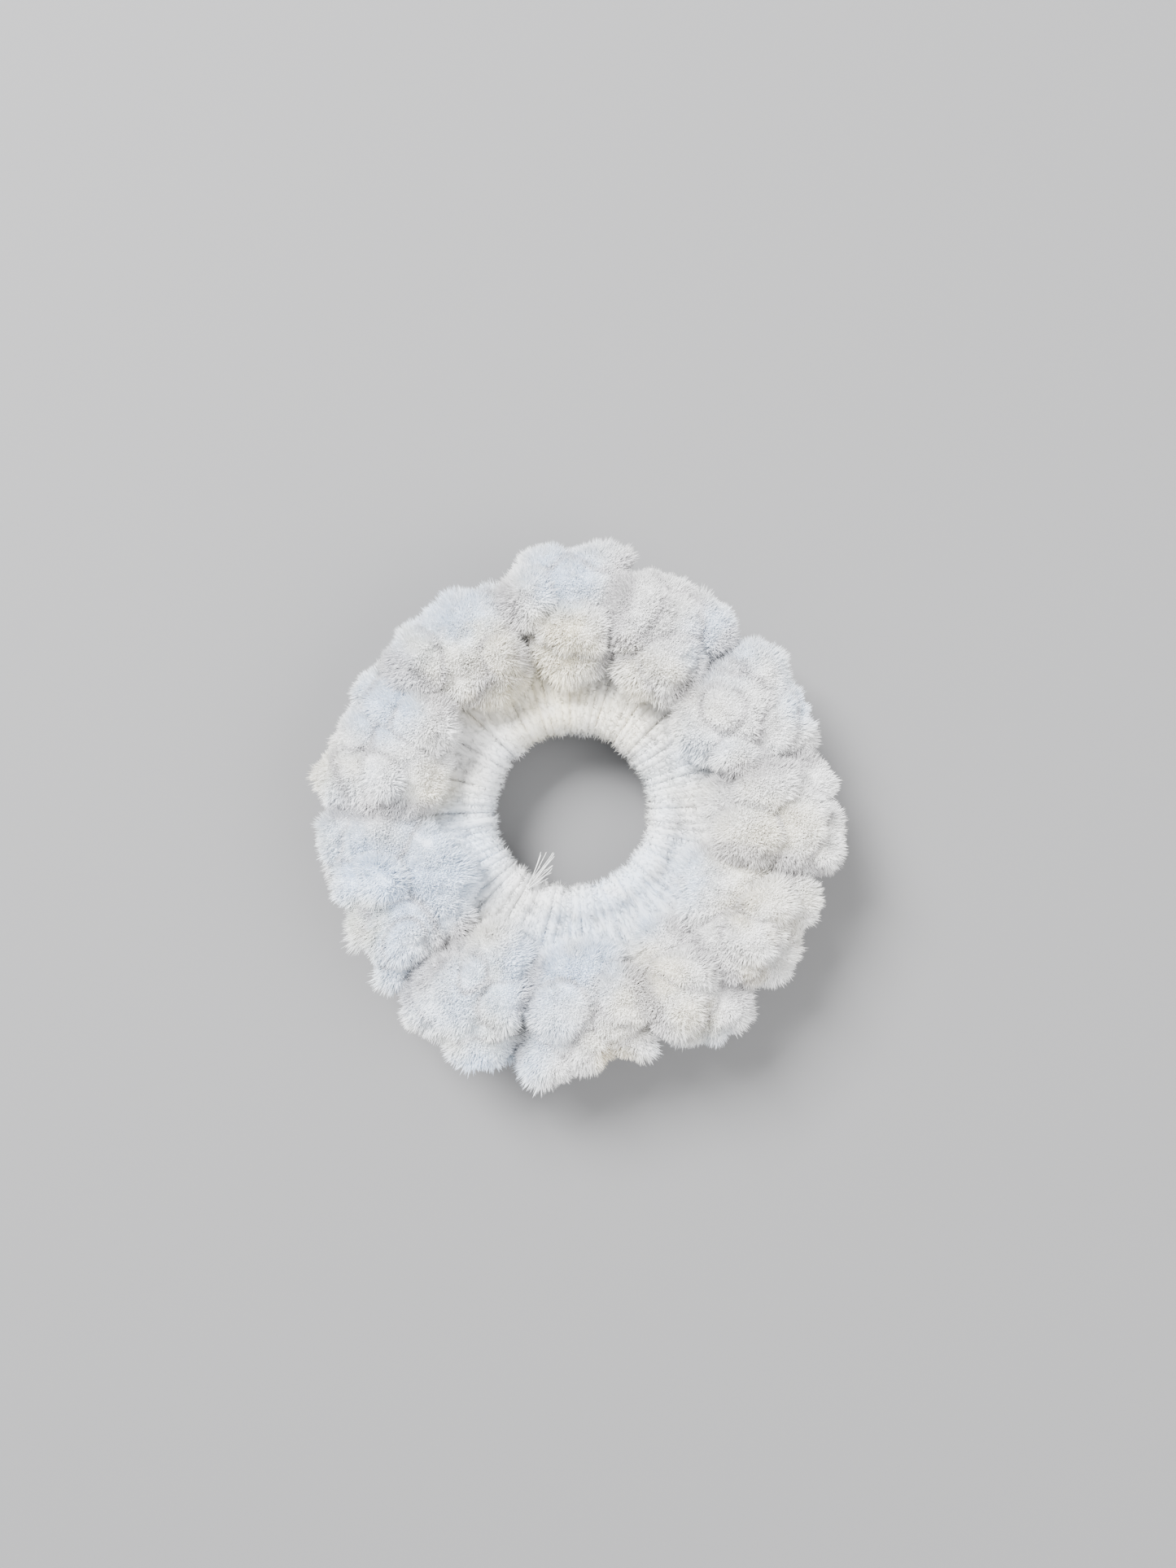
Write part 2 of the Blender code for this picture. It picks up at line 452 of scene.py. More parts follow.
def random_vector(graph, size, seed):
    """A vector for each point, whose three numbers lie between -size and size."""
    kind = "FunctionNodeRandomValue"
    inputs = {0: (-size,) * 3, 1: (size,) * 3, 8: seed}
    return graph.add(kind, {"data_type": "FLOAT_VECTOR"}, inputs)


def smooth_noise(graph, scale):
    """Smooth noise at each point's place, as a vector about zero."""
    place = graph.add("GeometryNodeInputPosition")
    inputs = {"Vector": place, "Scale": scale, "Detail": 1.0}
    return graph.add("ShaderNodeTexNoise", {}, inputs).output("Color") - 0.5


def named_attribute(graph, kind, name):
    return graph.add("GeometryNodeInputNamedAttribute", {"data_type": kind}, {"Name": name})


print("sizes of the pile:", PILE)

# %% [markdown]
# ## One tuft on each point
#
# A tuft of chenille is a bundle of cut fibres that ends in a point. A thin cone with three sides is
# enough for it, since hundreds of thousands stand together and none is seen alone. Both trees end in
# the same way: the tufts are made real, joined with the core and given their material.

# %% Tufts and the end of a tree
def stand_tufts(graph, points, direction, shade, width, length):
    """Puts a tuft on each point and makes them one mesh, shaded by the vector called shade."""
    settings = {"data_type": "FLOAT_VECTOR", "domain": "POINT"}
    inputs = {"Geometry": points, "Name": "shade", "Value": shade}
    marked = graph.add("GeometryNodeStoreNamedAttribute", settings, inputs)
    tuft = graph.add(
        "GeometryNodeMeshCone",
        {"fill_type": "NGON"},
        {"Vertices": TUFT_SIDES, "Radius Top": 0.0, "Radius Bottom": 0.5, "Depth": 1.0},
    )
    facing = graph.add("FunctionNodeAlignRotationToVector", {"axis": "Z"}, {"Vector": direction})
    size = graph.add("ShaderNodeCombineXYZ", {}, {"X": width, "Y": width, "Z": length})
    inputs = {"Points": marked, "Instance": tuft, "Rotation": facing, "Scale": size}
    tufts = graph.add("GeometryNodeInstanceOnPoints", {}, inputs)
    pile = graph.add("GeometryNodeRealizeInstances", {}, {"Geometry": tufts})
    own = graph.add("GeometryNodeInputNormal")
    soft = named_attribute(graph, "FLOAT_VECTOR", "shade") * SOFT_SHARE + own * (1 - SOFT_SHARE)
    settings = {"mode": "FREE", "domain": "POINT"}
    return graph.add("GeometryNodeSetMeshNormal", settings, {"Mesh": pile, "Custom Normal": soft})


def end_tree(graph, given, first, second):
    """Joins the two parts of the yarn, gives them their material and ends the tree."""
    joined = graph.add("GeometryNodeJoinGeometry", {}, {"Geometry": first})
    graph.feed(joined.socket.node.inputs["Geometry"], second)
    dye = given.output("Material")
    dyed = graph.add("GeometryNodeSetMaterial", {}, {"Geometry": joined, "Material": dye})
    graph.node("NodeGroupOutput", {}, {"Result": dyed})
    return graph.tree


print("a tuft has", TUFT_SIDES, "sides")

# %% [markdown]
# ## Pile over a body
#
# The pile of a fold isn't the same all over. It is short on the faces that are pressed by their
# neighbours and by the hand, and long at the rims, where the cut fibres stand free and make a fringe.
# So a tuft's length grows as its body turns sideways, and tufts under the body are left out.

# %% Pile of the ruffle
def pile_tree():
    """Tufts over a body: short on its faces, longer where it faces sideways at a rim."""
    graph = new_tree("Plush pile", "Body", PILE)
    given = graph.add("NodeGroupInput")
    body, seed = given.output("Body"), given.output("Seed")
    hidden = graph.add("GeometryNodeInputNormal").dot(given.output("Hidden Side"))
    density = given.output("Tufts per Square Metre") * (1 - hidden.between(0.35, 0.9) * HIDDEN_SHARE)
    inputs = {"Mesh": body, "Density": density, "Seed": seed}
    roots = graph.add("GeometryNodeDistributePointsOnFaces", {}, inputs)
    out = roots.output("Normal")
    flow = named_attribute(graph, "FLOAT_VECTOR", "flow")
    comb = (flow - out * flow.dot(out)) * given.output("Comb")
    clump = smooth_noise(graph, CLUMP_SCALE) * given.output("Clump")
    stray = random_vector(graph, 1.0, seed + 1) * given.output("Lean")
    upright = out.dot((0, 0, 1))
    sideways = (1 - upright * upright).between(0.15, 0.85)
    pile, fringe = given.output("Pile Length"), given.output("Fringe Length")
    uneven = smooth_noise(graph, LENGTH_SCALE).dot((1.1, 1.1, 1.1)) + 1
    varied = random_value(graph, *TUFT_LENGTHS, seed + 2)
    length = (pile + (fringe - pile) * sideways) * uneven * varied
    width = given.output("Tuft Width") * random_value(graph, *TUFT_WIDTHS, seed + 3)
    width = width * (1 - sideways * 0.2)
    direction = out + comb + clump + stray
    tufts = stand_tufts(graph, roots, direction, out + clump * 0.35, width, length)
    skin = graph.add("GeometryNodeSetShadeSmooth", {}, {"Geometry": body})
    return end_tree(graph, given, skin, tufts)


PLUSH_PILE = pile_tree()
print("pile tree:", len(PLUSH_PILE.nodes), "nodes")

# %% [markdown]
# ## Strands as a node tree
#
# On the collar the strands lie side by side, so each needs a body of its own. This tree sweeps a small
# circle along a path and adds fibres that lie along the strand. A path's points carry the thickness of
# the strand there, because it is squeezed thin at the rim of the hole and swells further out.

# %% The strand tree
STRAND = {
    "Core Radius": 0.001,
    "Fibre Length": 0.0016,
    "Fibre Width": 0.00022,
    "Fibres per Metre": 21000.0,
    "Lean": 1.7,
    "Core Step": 0.0011,
}
CORE_SIDES = 8
ROOT_DEPTH = 0.8  # where a fibre starts, as a share of the core's radius


def strand_tree():
    """A round core along each path, with fibres that stand out and lean along it."""
    graph = new_tree("Strand of yarn", "Path", STRAND)
    given = graph.add("NodeGroupInput")
    seed, radius = given.output("Seed"), given.output("Core Radius")
    thickness = named_attribute(graph, "FLOAT", "thickness")
    path = graph.add("GeometryNodeMeshToCurve", {}, {"Mesh": given.output("Path")})
    inputs = {"Curve": path, "Length": given.output("Core Step")}
    steps = graph.add("GeometryNodeResampleCurve", {"mode": "LENGTH"}, inputs)
    inputs = {"Resolution": CORE_SIDES, "Radius": radius}
    circle = graph.add("GeometryNodeCurvePrimitiveCircle", {}, inputs)
    inputs = {"Curve": steps, "Profile Curve": circle, "Scale": thickness, "Fill Caps": True}
    core = graph.add("GeometryNodeCurveToMesh", {}, inputs)
    core = graph.add("GeometryNodeSetShadeSmooth", {}, {"Geometry": core})

    spacing = 1.0 / given.output("Fibres per Metre")
    roots = graph.add("GeometryNodeCurveToPoints", {"mode": "LENGTH"}, {0: path, "Length": spacing})
    along, normal = roots.output("Tangent"), roots.output("Normal")
    turn = random_value(graph, 0.0, TURN, seed)
    across = normal * turn.cosine() + along.cross(normal) * turn.sine()
    depth = radius * thickness * ROOT_DEPTH
    inputs = {"Geometry": roots, "Offset": across * depth}
    placed = graph.add("GeometryNodeSetPosition", {}, inputs)
    lean = random_value(graph, -1.0, 1.0, seed + 1) * given.output("Lean")
    length = given.output("Fibre Length") * random_value(graph, *TUFT_LENGTHS, seed + 2)
    width = given.output("Fibre Width")
    direction = across + along * lean
    fibres = stand_tufts(graph, placed, direction, across, width, length * thickness)
    return end_tree(graph, given, core, fibres)


STRAND_YARN = strand_tree()
print("strand tree:", len(STRAND_YARN.nodes), "nodes")

# %% [markdown]
# ## From a source to a piece
#
# A tree runs as a modifier on its source, and the result is kept as a plain mesh at the origin. A plain
# top-down UV map lets the colour be baked without unwrapping thousands of tufts.

# %% Helpers for meshes
MAP_MARGIN = 0.02


def new_object(name, mesh):
    """Puts a mesh in the scene at the origin."""
    made = bpy.data.objects.new(name, mesh)
    bpy.context.collection.objects.link(made)
    return made


def plain_mesh_object(name, source):
    """The evaluated result of an object as a new object with a mesh of its own."""
    bpy.context.view_layer.update()
    graph = bpy.context.evaluated_depsgraph_get()
    mesh = bpy.data.meshes.new_from_object(source.evaluated_get(graph))
    bpy.data.objects.remove(source)
    mesh.name = name
    return new_object(name, mesh)


def read_points(mesh):
    points = np.empty(len(mesh.vertices) * 3, np.float32)
    mesh.vertices.foreach_get("co", points)
    return points.reshape(-1, 3)


def write_points(mesh, points):
    mesh.vertices.foreach_set("co", points.astype(np.float32).ravel())
    mesh.update()


def flat_map(piece):
    """A top-down UV map that fills the square."""
    mesh = piece.data
    points = read_points(mesh)
    low, high = points[:, :2].min(axis=0), points[:, :2].max(axis=0)
    corners = np.empty(len(mesh.loops), np.int32)
    mesh.loops.foreach_get("vertex_index", corners)
    layer = mesh.uv_layers.new(name="OFBake")
    share = (points[corners, :2] - low) / (high - low)
    flat = MAP_MARGIN + (1 - 2 * MAP_MARGIN) * share
    layer.data.foreach_set("uv", flat.astype(np.float32).ravel())


print("the map leaves a margin of", MAP_MARGIN)

# %% [markdown]
# ## Growing a piece
#
# Every piece of yarn is made in one step: a source goes into a tree, and the tree's result becomes a
# plain mesh with one material and a map. The sources are bodies for the pile, or paths for the strands.

# %% Grow a piece from a source
made_triangles = {}


def wear(piece, dye):
    """Gives a piece one material all over."""
    piece.data.materials.clear()
    piece.data.materials.append(dye)
    piece.data.polygons.foreach_set("material_index", [0] * len(piece.data.polygons))


def keep_count(piece):
    made_triangles[piece.name] = sum(len(face.vertices) - 2 for face in piece.data.polygons)


def grow(name, source, tree, dye, seed, hidden=(0, 0, 0), **changes):
    """Runs a tree on a source object, which it uses up, and returns the finished piece."""
    modifier = source.modifiers.new("Yarn", "NODES")
    modifier.node_group = tree
    choices = {**changes, "Seed": seed, "Material": dye, "Hidden Side": hidden}
    for item in tree.interface.items_tree:
        if item.in_out == "INPUT" and item.name in choices:
            modifier[item.identifier] = choices[item.name]
    piece = plain_mesh_object(name, source)
    wear(piece, dye)
    flat_map(piece)
    keep_count(piece)
    return piece


def path_object(name, paths):
    """A mesh of plain edges, one run for each path. A path's rows are x, y, z and thickness."""
    rows = np.concatenate(paths)
    edges = []
    first = 0
    for path in paths:
        edges += [(first + step, first + step + 1) for step in range(len(path) - 1)]
        first += len(path)
    mesh = bpy.data.meshes.new(name)
    mesh.from_pydata(rows[:, :3].tolist(), edges, [])
    thickness = mesh.attributes.new("thickness", "FLOAT", "POINT")
    thickness.data.foreach_set("value", rows[:, 3].astype(np.float32))
    return new_object(name, mesh)


print("trees to run:", PLUSH_PILE.name, STRAND_YARN.name)

# %% [markdown]
# ## Folds are heaps of puffs
#
# A ruffle fold isn't one smooth cushion. It gathers into rounded puffs, like a cauliflower, with narrow
# creases between them. Each fold's body is made of overlapping ellipsoids on a flat pad.

# %% Puffs and the pad under them
PUFF_DETAIL = 3
PAD_BACK = 0.0035


def puff(mesh, place, angle, length, width, height):
    """Adds an ellipsoid by its half sizes outwards, sideways and upwards, and returns its frame."""
    size = Matrix.Diagonal((length, width, height, 1))
    where = Matrix.Translation(place) @ Matrix.Rotation(angle, 4, "Z") @ size
    bmesh.ops.create_icosphere(mesh, subdivisions=PUFF_DETAIL, radius=1.0, matrix=where)
    return where


def pad(mesh, sector, inset, low, high):
    """Adds a flat pad of the sector's outline, inset all round and set back from the collar."""
    steps = sector.steps
    narrow = 1 - inset / (sector.half * (sector.inner + inset))
    outer = [(sector.outer(step) - inset, sector.middle + step * narrow) for step in steps]
    back = sector.inner + inset + PAD_BACK
    inner = [(back, sector.middle + step * narrow) for step in reversed(steps)]
    lower = [mesh.verts.new(at(radius, angle, low)) for radius, angle in outer + inner]
    upper = [mesh.verts.new(at(radius, angle, high)) for radius, angle in outer + inner]
    mesh.faces.new(reversed(lower))
    mesh.faces.new(upper)
    for index in range(len(lower)):
        after = (index + 1) % len(lower)
        mesh.faces.new((lower[index], lower[after], upper[after], upper[index]))


print("an ellipsoid is divided", PUFF_DETAIL, "times")

# %% [markdown]
# ## The way the pile lies
#
# On a real fold the pile leans away from the middle of each puff, and little light reaches the creases
# between puffs or the valley between two folds. Both are worked out from the ellipsoids and stored on
# the body's points, where the pile tree and the material read them.

# %% Flow and creases
CREASE_SPREAD = 0.16
# The shade of the valley between two folds: where it is darkest, how wide and how strong it is.
SEAM_NEAR, SEAM_WIDTH, SEAM_STRENGTH = 0.0012, 0.0021, 0.75


def seam_shade(points, sector):
    """Painted shade for each point, by how near it is to the side where this fold meets the next one."""
    radius, angle = polar(points)
    aside = (angle - sector.middle + math.pi) % TURN - math.pi
    gap = (sector.half - abs(aside)) * radius
    return SEAM_STRENGTH * np.clip(1 - (gap - SEAM_NEAR) / SEAM_WIDTH, 0, 1) ** 2


def comb_body(body, frames, sector):
    """Marks how the pile flows over each puff, and painted shade in creases and near the next fold."""
    points = read_points(body.data)
    ones = np.ones((len(points), 1))
    nearness, flows = [], []
    for where in frames:
        local = np.hstack([points, ones]) @ np.array(where.inverted()).T[:, :3]
        nearness.append(np.linalg.norm(local, axis=1))
        flows.append(local @ np.array(where.inverted())[:3, :3])
    nearness = np.array(nearness)
    own = nearness.argmin(axis=0)
    flow = np.array(flows)[own, np.arange(len(points))]
    flow /= np.linalg.norm(flow, axis=1, keepdims=True)
    nearest = np.sort(nearness, axis=0)[:2]
    # painted shade: strongest where two puffs are equally near, and near the valley to the next fold
    crease = np.clip(1 - (nearest[1] - nearest[0]) / CREASE_SPREAD, 0, 1) ** 2
    crease = np.maximum(crease, seam_shade(points, sector))
    attribute = body.data.attributes.new("flow", "FLOAT_VECTOR", "POINT")
    attribute.data.foreach_set("vector", flow.astype(np.float32).ravel())
    attribute = body.data.attributes.new("crease", "FLOAT", "POINT")
    attribute.data.foreach_set("value", crease.astype(np.float32))


print(f"a valley's shade is {1000 * SEAM_WIDTH:.1f} mm wide")

# %% [markdown]
# ## One skin for each body
#
# The ellipsoids and the pad overlap, as stuffed shapes can't. The remesh makes one closed surface of
# them, a little smoothing rounds the creases, and noise of three sizes breaks up the round shapes.

# %% Skin
VOXEL = 0.0007
SOFTEN_FACTOR, SOFTEN_TIMES = 0.5, 2
RIPPLES = ((120.0, 0.0012), (330.0, 0.0007), (700.0, 0.0003))  # each size of noise: scale and reach


def skinned(name, mesh, ripple_seed):
    """One closed skin round everything in the bmesh, with smooth noise added."""
    lumps = bpy.data.meshes.new(name)
    mesh.to_mesh(lumps)
    mesh.free()
    source = new_object(name + "_lumps", lumps)
    remesh = source.modifiers.new("Skin", "REMESH")
    remesh.mode = "VOXEL"
    remesh.voxel_size = VOXEL
    soften = source.modifiers.new("Soften", "SMOOTH")
    soften.factor, soften.iterations = SOFTEN_FACTOR, SOFTEN_TIMES
    body = plain_mesh_object(name, source)
    points = read_points(body.data)
    moves = np.zeros_like(points)
    for scale, size in RIPPLES:
        shift = Vector((ripple_seed * 1.7, ripple_seed * 0.9, 3.1))
        moves += [noise.noise_vector(Vector(point) * scale + shift) * size for point in points]
    write_points(body.data, points + moves)
    return body


print(f"bodies are remeshed in steps of {1000 * VOXEL:.1f} mm")

# %% [markdown]
# ## Rows of puffs in a fold
#
# A fold has a row of puffs along its rim, a row of bigger ones behind it, and a row along the edge that
# hangs over the collar. Two more, the crowns, stand on top of them at random. The pile's length is
# taken off the space of the CAD fold, so that its tips reach the outline.

# %% The body of a fold
SIDE_INSET = 0.00125
TOP_INSET = 0.0011
RIM_INSET = 0.0018
ROOT_INSET = 0.0003
PAD_INSET = 0.0030
DECK_SHARE = 0.3  # how much of a fold's height its flat pad takes up
SIDE_FALL = 0.45  # how much lower a fold is at its sides, so that a valley parts it from the next one
# For each row: where it lies from the inner to the outer edge, the spacing of its puffs, their half
# size outwards, and how high they rise as a share of the fold.
ROWS = (
    (0.20, 0.0150, 0.0084, 0.93),
    (0.56, 0.0128, 0.0080, 0.97),
    (0.82, 0.0092, 0.0057, 0.77),
)
CROWNS = 2
# How much each draw may vary a puff: its place, length, width, top, thickness and turn.
PUFF_ASIDE, PUFF_OUT = (-0.14, 0.14), (-0.001, 0.001)
PUFF_LONG, PUFF_WIDE = (0.88, 1.12), (0.54, 0.64)
PUFF_TOP, PUFF_HIGH, PUFF_TURN = (0.80, 1.0), (0.48, 0.66), (-0.3, 0.3)
CROWN_ASIDE, CROWN_SPREAD, CROWN_OUT = (-0.3, 0.3), 0.9, (0.28, 0.68)
CROWN_SIZE, CROWN_HIGH = (0.0046, 0.0068), (0.0036, 0.0046)
CROWN_TOP, CROWN_ROUND = (0.95, 1.03), (0.6, 1.0)


def fold_body(name, sector, rows, upwards, rng):
    """The body of one fold. Its puffs rise upwards, or downwards for a fold under the skirt."""
    mesh = bmesh.new()
    inner = sector.inner + ROOT_INSET
    foot = (sector.low if upwards > 0 else sector.high) + upwards * TOP_INSET
    tall = sector.high - sector.low - 2 * TOP_INSET
    deck = foot + upwards * tall * DECK_SHARE
    pad(mesh, sector, PAD_INSET, min(foot, deck), max(foot, deck))
    frames = []
    for place, spacing, half_length, share in rows:
        radius = inner + (sector.outer(0.0) - RIM_INSET - inner) * place
        half = sector.half - SIDE_INSET / radius
        count = max(1, round(2 * half * radius / spacing))
        pitch = 2 * half / count
        for index in range(count):
            aside = -half + pitch * (index + 0.5 + rng.uniform(*PUFF_ASIDE))
            outer = sector.outer(aside) - RIM_INSET
            long = half_length * rng.uniform(*PUFF_LONG)
            out = inner + (outer - inner) * place + rng.uniform(*PUFF_OUT)
            out = min(max(out, inner + long), outer - long)
            wide = pitch * radius * rng.uniform(*PUFF_WIDE)
            top = tall * share * rng.uniform(*PUFF_TOP) * (1 - SIDE_FALL * (aside / half) ** 2)
            high = top * rng.uniform(*PUFF_HIGH)
            where = at(out, sector.middle + aside, foot + upwards * (top - high))
            turn = sector.middle + aside + rng.uniform(*PUFF_TURN)
            frames.append(puff(mesh, where, turn, long, wide, high))
    for crown in range(CROWNS):
        step = crown - (CROWNS - 1) / 2 + rng.uniform(*CROWN_ASIDE)
        aside = sector.half * step * CROWN_SPREAD
        out = inner + (sector.outer(aside) - RIM_INSET - inner) * rng.uniform(*CROWN_OUT)
        size = rng.uniform(*CROWN_SIZE)
        high = rng.uniform(*CROWN_HIGH)
        top = tall * rng.uniform(*CROWN_TOP)
        where = at(out, sector.middle + aside, foot + upwards * (top - high))
        turn = rng.uniform(0, TURN)
        frames.append(puff(mesh, where, turn, size, size * rng.uniform(*CROWN_ROUND), high))
    body = skinned(name, mesh, rng.uniform(0, 9))
    comb_body(body, frames, sector)
    return body


print("a fold has", len(ROWS), "rows of puffs and", CROWNS, "crowns")

# %% [markdown]
# ## The upper folds
#
# Eleven folds lie on top of the skirt, side by side. Each has random draws of its own, so that no two
# are alike. Its yarn rides on the body that its hinge lifts, and takes the place of the plain CAD fold.
# Most tufts on its underside are left out, because the skirt covers them.

# %% Upper folds
for number, sector in enumerate(UPPER, 1):
    rng = random.Random(100 + number)
    name = f"upper_fold_yarn_{number:02d}"
    body = fold_body(name + "_body", sector, ROWS, 1, rng)
    piece = grow(name, body, PLUSH_PILE, PLUSH, 10 * number, hidden=(0, 0, -1))
    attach(piece, f"fold_{number:02d}")
    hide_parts(f"upper_fold_{number:02d}")
print("upper folds:", sum(made_triangles.values()), "triangles")

# %% [markdown]
# ## The lower folds
#
# Eleven more folds hang under the skirt, each below the place where two upper folds meet. They are
# made the same way, upside down, and their pile is pressed flat where the scrunchie lies on a table.

# %% Lower folds
FLOOR_CLEARANCE = 0.0001
LOWER_ROWS = (
    (0.22, 0.0115, 0.0066, 0.86),
    (0.55, 0.0130, 0.0080, 1.00),
    (0.82, 0.0098, 0.0058, 0.84),
)
LENGTHS = [f"length_{number:02d}" for number in range(1, COUNT + 1)] + ["closing_length"]
ENDS = MIDDLES + [MIDDLES[0]]


def press(piece, floor):
    """Flattens whatever lies below this height."""
    points = read_points(piece.data)
    points[:, 2] = np.maximum(points[:, 2], floor)
    write_points(piece.data, points)


def blend_between(piece, index, radius):
    """Bakes the piece's placement into its mesh. The ring's lengths are looked up, but nothing is
    blended.
    """
    start = at(radius, ENDS[index], RING_HEIGHT)
    end = at(radius, ENDS[index + 1], RING_HEIGHT)
    LENGTHS[index + 1]
    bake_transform(piece)


sizes = {"Tufts per Square Metre": 12e6, "Tuft Width": 0.00074}
for number, sector in enumerate(LOWER, 1):
    rng = random.Random(300 + number)
    name = f"lower_fold_yarn_{number:02d}"
    body = fold_body(name + "_body", sector, LOWER_ROWS, -1, rng)
    piece = grow(name, body, PLUSH_PILE, PLUSH, 1000 + 10 * number, hidden=(0, 0, 1), **sizes)
    press(piece, FLOOR_CLEARANCE)
    blend_between(piece, number - 1, sector.inner)
    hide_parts(f"lower_fold_{number:02d}")
print("with lower folds:", sum(made_triangles.values()), "triangles")

# %% [markdown]
# ## The collar
#
# The first round is crocheted over the elastic: each stitch's strand comes in over the top, goes round
# the rim of the hole and back underneath. So the collar is a ring of thin strands, squeezed at the rim
# and fuller further out, pulled together in bunches of three or four. Behind them is the stitches'
# closed wall, so that nothing shows through when the ring is stretched.

# %% Strands of the collar
STRANDS = 88
SPAN = TURN / STRANDS
STRAND_ROOM = 0.0012  # the room that the strands and their pile take up outside the wall
WALL_RADIUS = RING_RADIUS - RIM_RADIUS - STRAND_ROOM
STRAND_RING = WALL_RADIUS + 0.0002
STRAND_FILL = 0.72
BUNCH_SIZE, BUNCH_STRANDS = 0.17, 3.6
# How much smooth noise varies a strand: its slant, thickness, distance from the elastic and waver.
SLANT, SWELL, RISE, WAVER = 0.05, 0.22, 0.26, 0.012
WRAP_DEGREES = range(40, 325, 15)
# Where a strand lies above and below the skirt: the distance from the hole and the height.
STRAND_TOP = (
    (0.0315, SKIRT_HIGH - 0.0005),
    (0.0285, SKIRT_HIGH - 0.0001),
    (0.0255, SKIRT_HIGH + 0.0001),
)
STRAND_UNDER = ((0.0240, SKIRT_LOW + 0.0002), (0.0270, SKIRT_LOW + 0.0006))


def smooth(*place):
    """Smooth noise at a place, from about -1 to 1."""
    return noise.noise(Vector(place))


def collar_strand(index):
    """The path of one stitch's strand, with its thickness at each point."""
    wander = 2 * smooth(index * 0.13, 4, 0)
    bunch = BUNCH_SIZE * math.sin(TURN * index / BUNCH_STRANDS + wander)
    angle = MIDDLES[0] + (index + 0.5 + bunch) * SPAN
    sweep = SLANT * smooth(index * 0.11, 0.5, 7.7)
    swell = 1 + SWELL * smooth(index * 0.9, 2.2, 1.1)
    ring = STRAND_RING * (1 + RISE * smooth(index * 0.57, 9.1, 3.3))
    profile = list(STRAND_TOP)
    for degrees in WRAP_DEGREES:
        turn = math.radians(degrees)
        profile.append((RING_RADIUS + ring * math.cos(turn), RING_HEIGHT + ring * math.sin(turn)))
    profile += STRAND_UNDER
    rows = []
    for radius, height in profile:
        lean = sweep * (radius - RIM_RADIUS) / RIM_RADIUS
        lean += WAVER * smooth(index * 3.3, radius * 400, height * 300)
        thick = STRAND_FILL * SPAN * radius * swell
        point = at(radius, angle + lean, height)
        rows.append((*point, thick / STRAND["Core Radius"]))
    return angle, np.array(rows)


print("strands:", STRANDS, "with", len(WRAP_DEGREES), "points each round the elastic")

# %% [markdown]
# ## The collar in lengths
#
# The ring is divided where its lengths slide apart. Each piece of the collar holds the strands of one
# length.

# %% Collar pieces
def piece_span(index):
    """The angles at which one piece of the ring starts and ends."""
    start = MIDDLES[index]
    return start, start + (ENDS[index + 1] - start) % TURN


def covered(kind, closing, index):
    """The CAD nodes that a piece stands for. The last piece covers the closing one too."""
    last = [closing] if index == COUNT - 1 else []
    return [f"{kind}_{index + 1:02d}"] + last


collar = [collar_strand(index) for index in range(STRANDS)]
for index in range(COUNT):
    start, end = piece_span(index)
    paths = [path for angle, path in collar if (angle - start) % TURN < end - start]
    name = f"collar_strands_{index + 1:02d}"
    piece = grow(name, path_object(name + "_path", paths), STRAND_YARN, RIBS, 2000 + 10 * index)
    blend_between(piece, index, RIM_RADIUS)
    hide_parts(*covered("base_round", "base_round_closing", index))
print("with the collar:", sum(made_triangles.values()), "triangles")

# %% [markdown]
# ## The wall of the stitches and the elastic inside
#
# Both are simple sections carried round the ring, so one small function makes them: it sweeps a closed
# outline, and an inner outline where there is a tunnel, and closes the two ends.

# %% Sections and a sweep
SKIRT_EDGE = SKIRT_RADIUS - 0.0015
SKIRT_THIN = 0.0007  # how much thinner the wall's flat skirt is on each side than the CAD skirt
SLEEVE_END = 0.031
WALL_THICKNESS = 0.0007
OPEN_SIDE = 30  # the degrees on each side of outwards that the sleeve leaves to the skirt
ARC_STEP, ELASTIC_STEP = 15, 24
INNER_CLOSING = [-20, -8, 8, 20]
SWEEP_STEPS = 14


def circle_points(half, degrees):
    """Points round the elastic's middle, as distances from the hole and heights."""
    return [
        (RING_RADIUS + half * math.cos(math.radians(d)), RING_HEIGHT + half * math.sin(math.radians(d)))
        for d in degrees
    ]


def swept(name, outer, inner, start, end):
    """Carries an outline round the ring. An inner outline of as many points makes it a pipe."""
    mesh = bmesh.new()
    loops = [outer] + ([inner] if inner else [])
    rings = []
    for step in range(SWEEP_STEPS + 1):
        angle = start + (end - start) * step / SWEEP_STEPS
        rings.append([[mesh.verts.new(at(r, angle, z)) for r, z in loop] for loop in loops])
    size = len(outer)
    for before, after in zip(rings, rings[1:]):
        for loop_before, loop_after in zip(before, after):
            for i in range(size):
                j = (i + 1) % size
                mesh.faces.new((loop_before[i], loop_before[j], loop_after[j], loop_after[i]))
    for ring in (rings[0], rings[-1]):
        if inner:
            for i in range(size):
                j = (i + 1) % size
                mesh.faces.new((ring[0][i], ring[0][j], ring[1][j], ring[1][i]))
        else:
            mesh.faces.new(ring[0])
    bmesh.ops.recalc_face_normals(mesh, faces=mesh.faces)
    made = bpy.data.meshes.new(name)
    mesh.to_mesh(made)
    mesh.free()
    made.shade_smooth()
    return new_object(name, made)


print("each sweep has", SWEEP_STEPS, "steps")

# %% [markdown]
# ## Wall and elastic
#
# The wall closes the ring behind the strands. The elastic inside it is a cord with a braided cover. It
# is hidden in the finished ring, so a wave pattern with a shallow bump is enough for its braid.

# %% Wall and elastic
BRAID_DARK, BRAID_LIGHT = (0.66, 0.66, 0.68, 1), (0.82, 0.82, 0.83, 1)


